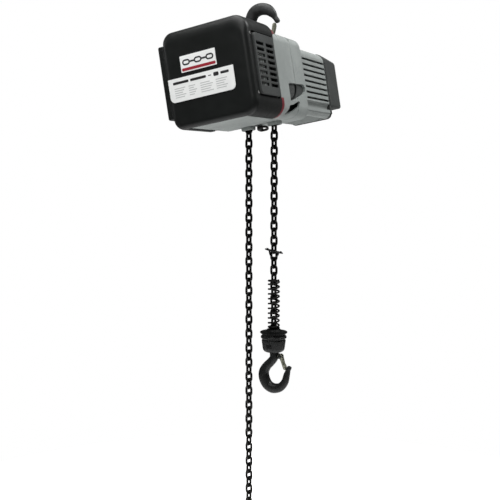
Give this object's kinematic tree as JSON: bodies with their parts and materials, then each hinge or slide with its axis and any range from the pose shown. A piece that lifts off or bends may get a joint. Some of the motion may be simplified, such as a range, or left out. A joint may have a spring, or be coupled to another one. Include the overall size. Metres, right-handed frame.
{
  "type": "electric chain hoist",
  "caption": "Hook-suspended electric chain hoist: boxed controls, gear case and ribbed motor in line, a plumb load fall with cushion spring and latched hook, and a slack fall.",
  "frame": {"origin": "bearing point of the top hook, where the eye that carries the hoist touches the bowl", "axes": "+Z plumb up along the chain falls; +Y along the motor shaft towards the rear cover, so the control cover with its plates faces -Y; +X to the right when facing the plates"},
  "size_m": [0.2721, 0.6116, 1.3503],
  "materials": {
    "black_paint": "satin black powder coat",
    "dark_grey": "textured dark grey paint",
    "casting_grey": "light grey paint on die-cast aluminium",
    "red_seal": "red painted joint ring",
    "white_label": "printed label film, no lettering",
    "forged_black": "forged steel, black oxide",
    "chain_black": "hardened chain steel, black oiled",
    "zinc": "zinc plated pressed steel",
    "steel": "machined steel",
    "copper": "winding and laminations",
    "aluminium": "extruded aluminium",
    "board_green": "circuit board",
    "black_plastic": "moulded black plastic or rubber"
  },
  "bodies": {
    "suspension": {"top_hook": "forged_black", "top_hook_nut": "steel", "top_thrust_bearing": "steel", "top_latch_pin": "steel"},
    "top_latch_body": {"top_latch": "zinc"},
    "casing": {"gear_case": "casting_grey", "gear_cover": "casting_grey", "motor_housing": "casting_grey", "rear_cover": "dark_grey", "front_cover": "black_paint", "trim_ring": "red_seal", "vent_panel_right": "dark_grey", "vent_panel_left": "black_paint", "logo_plate": "white_label", "data_plate": "white_label", "slack_chain_guide": "casting_grey", "load_chain_guide": "casting_grey", "bearing_carrier": "casting_grey", "wheel_bearing_front": "steel", "wheel_bearing_rear": "steel", "motor_bearing_front": "steel", "motor_bearing_rear": "steel", "motor_end_shield": "casting_grey", "stator": "copper", "brake_coil": "steel", "heat_sink": "aluminium", "inverter_board": "board_green", "contactor": "black_plastic", "power_gland": "black_plastic", "pendant_gland": "black_plastic", "limit_switch": "black_plastic", "tail_anchor": "dark_grey", "tail_link": "chain_black", "load_chain_upper": "chain_black", "slack_chain_upper": "chain_black", "wheel_chain": "chain_black"},
    "limit_lever_body": {"limit_lever": "steel"},
    "lift_wheel_body": {"lift_wheel": "steel", "output_gear": "steel"},
    "idler_body": {"idler_gear": "steel"},
    "rotor_body": {"rotor": "steel", "motor_pinion": "steel", "brake_disc": "steel", "cooling_fan": "black_plastic"},
    "armature_body": {"brake_armature": "steel"},
    "load_mid_body": {"load_chain_mid": "chain_black"},
    "hook_block_body": {"load_chain_lower": "chain_black", "stop_plate": "forged_black", "cushion_seat": "black_plastic", "hook_block": "forged_black", "chain_pin": "steel", "bottom_thrust_bearing": "steel"},
    "spring_body": {"cushion_spring": "forged_black"},
    "bottom_hook_body": {"bottom_hook": "forged_black", "bottom_hook_nut": "steel", "bottom_latch_pin": "steel"},
    "bottom_latch_body": {"bottom_latch": "zinc"},
    "slack_body": {"slack_chain_lower": "chain_black", "chain_end_stop": "black_plastic"}
  },
  "joints": [
    {"name": "casing_swivel", "type": "hinge", "parent": "suspension", "child": "casing", "pos_m": [0.00414, 0, -0.08367], "axis": [-0.1659, 0, 0.9861], "continuous": true},
    {"name": "top_latch_open", "type": "hinge", "parent": "suspension", "child": "top_latch_body", "pos_m": [0.02212, 0, -0.07], "axis": [0, -1, 0], "range_deg": [0, 36], "stiffness_Nm_per_rad": 0.12, "springref_deg": -28.65},
    {"name": "hook_lift", "type": "slide", "parent": "casing", "child": "hook_block_body", "axis": [0, 0, 1], "range_m": [-0.382, 0.2292], "deforming": ["load_chain_upper", "load_chain_mid", "load_chain_lower", "slack_chain_upper", "slack_chain_lower"]},
    {"name": "load_mid_feed", "type": "slide", "parent": "casing", "child": "load_mid_body", "axis": [0, 0, 1], "range_m": [-0.191, 0.1146]},
    {"name": "slack_feed", "type": "slide", "parent": "casing", "child": "slack_body", "axis": [0, 0, 1], "range_m": [-0.2292, 0.382]},
    {"name": "wheel_spin", "type": "hinge", "parent": "casing", "child": "lift_wheel_body", "pos_m": [-0.0063, 0, -0.17953], "axis": [0, 1, 0], "range_deg": [-363, 603]},
    {"name": "idler_spin", "type": "hinge", "parent": "casing", "child": "idler_body", "pos_m": [-0.05955, 0, -0.18849], "axis": [0, 1, 0], "range_deg": [-2431, 1460]},
    {"name": "rotor_spin", "type": "hinge", "parent": "casing", "child": "rotor_body", "pos_m": [-0.0063, 0, -0.17953], "axis": [0, 1, 0], "range_deg": [-7540, 12564]},
    {"name": "brake_release", "type": "slide", "parent": "casing", "child": "armature_body", "axis": [0, -1, 0], "range_m": [0, 0.0025], "stiffness_N_per_m": 2000, "springref_m": -0.004},
    {"name": "limit_trip", "type": "hinge", "parent": "casing", "child": "limit_lever_body", "pos_m": [0.05528, 0, -0.24421], "axis": [0, 1, 0], "range_deg": [0, 6], "stiffness_Nm_per_rad": 1, "springref_deg": -17.19},
    {"name": "spring_ride", "type": "slide", "parent": "hook_block_body", "child": "spring_body", "axis": [0, 0, 1], "range_m": [0, 0.06]},
    {"name": "bottom_hook_swivel", "type": "hinge", "parent": "hook_block_body", "child": "bottom_hook_body", "pos_m": [0.0306, 0, -0.86], "axis": [0, 0, 1], "continuous": true},
    {"name": "bottom_latch_open", "type": "hinge", "parent": "bottom_hook_body", "child": "bottom_latch_body", "pos_m": [0.0506, 0, -0.8705], "axis": [0, 1, 0], "range_deg": [0, 36], "stiffness_Nm_per_rad": 0.12, "springref_deg": -28.65}
  ],
  "couplings": [
    {"joint": "load_mid_feed", "follows": "hook_lift", "ratio": 0.5},
    {"joint": "slack_feed", "follows": "hook_lift", "ratio": -1},
    {"joint": "wheel_spin", "follows": "hook_lift", "rad_per_m": -27.414},
    {"joint": "idler_spin", "follows": "hook_lift", "rad_per_m": 110.96},
    {"joint": "rotor_spin", "follows": "hook_lift", "rad_per_m": -573.93}
  ]
}
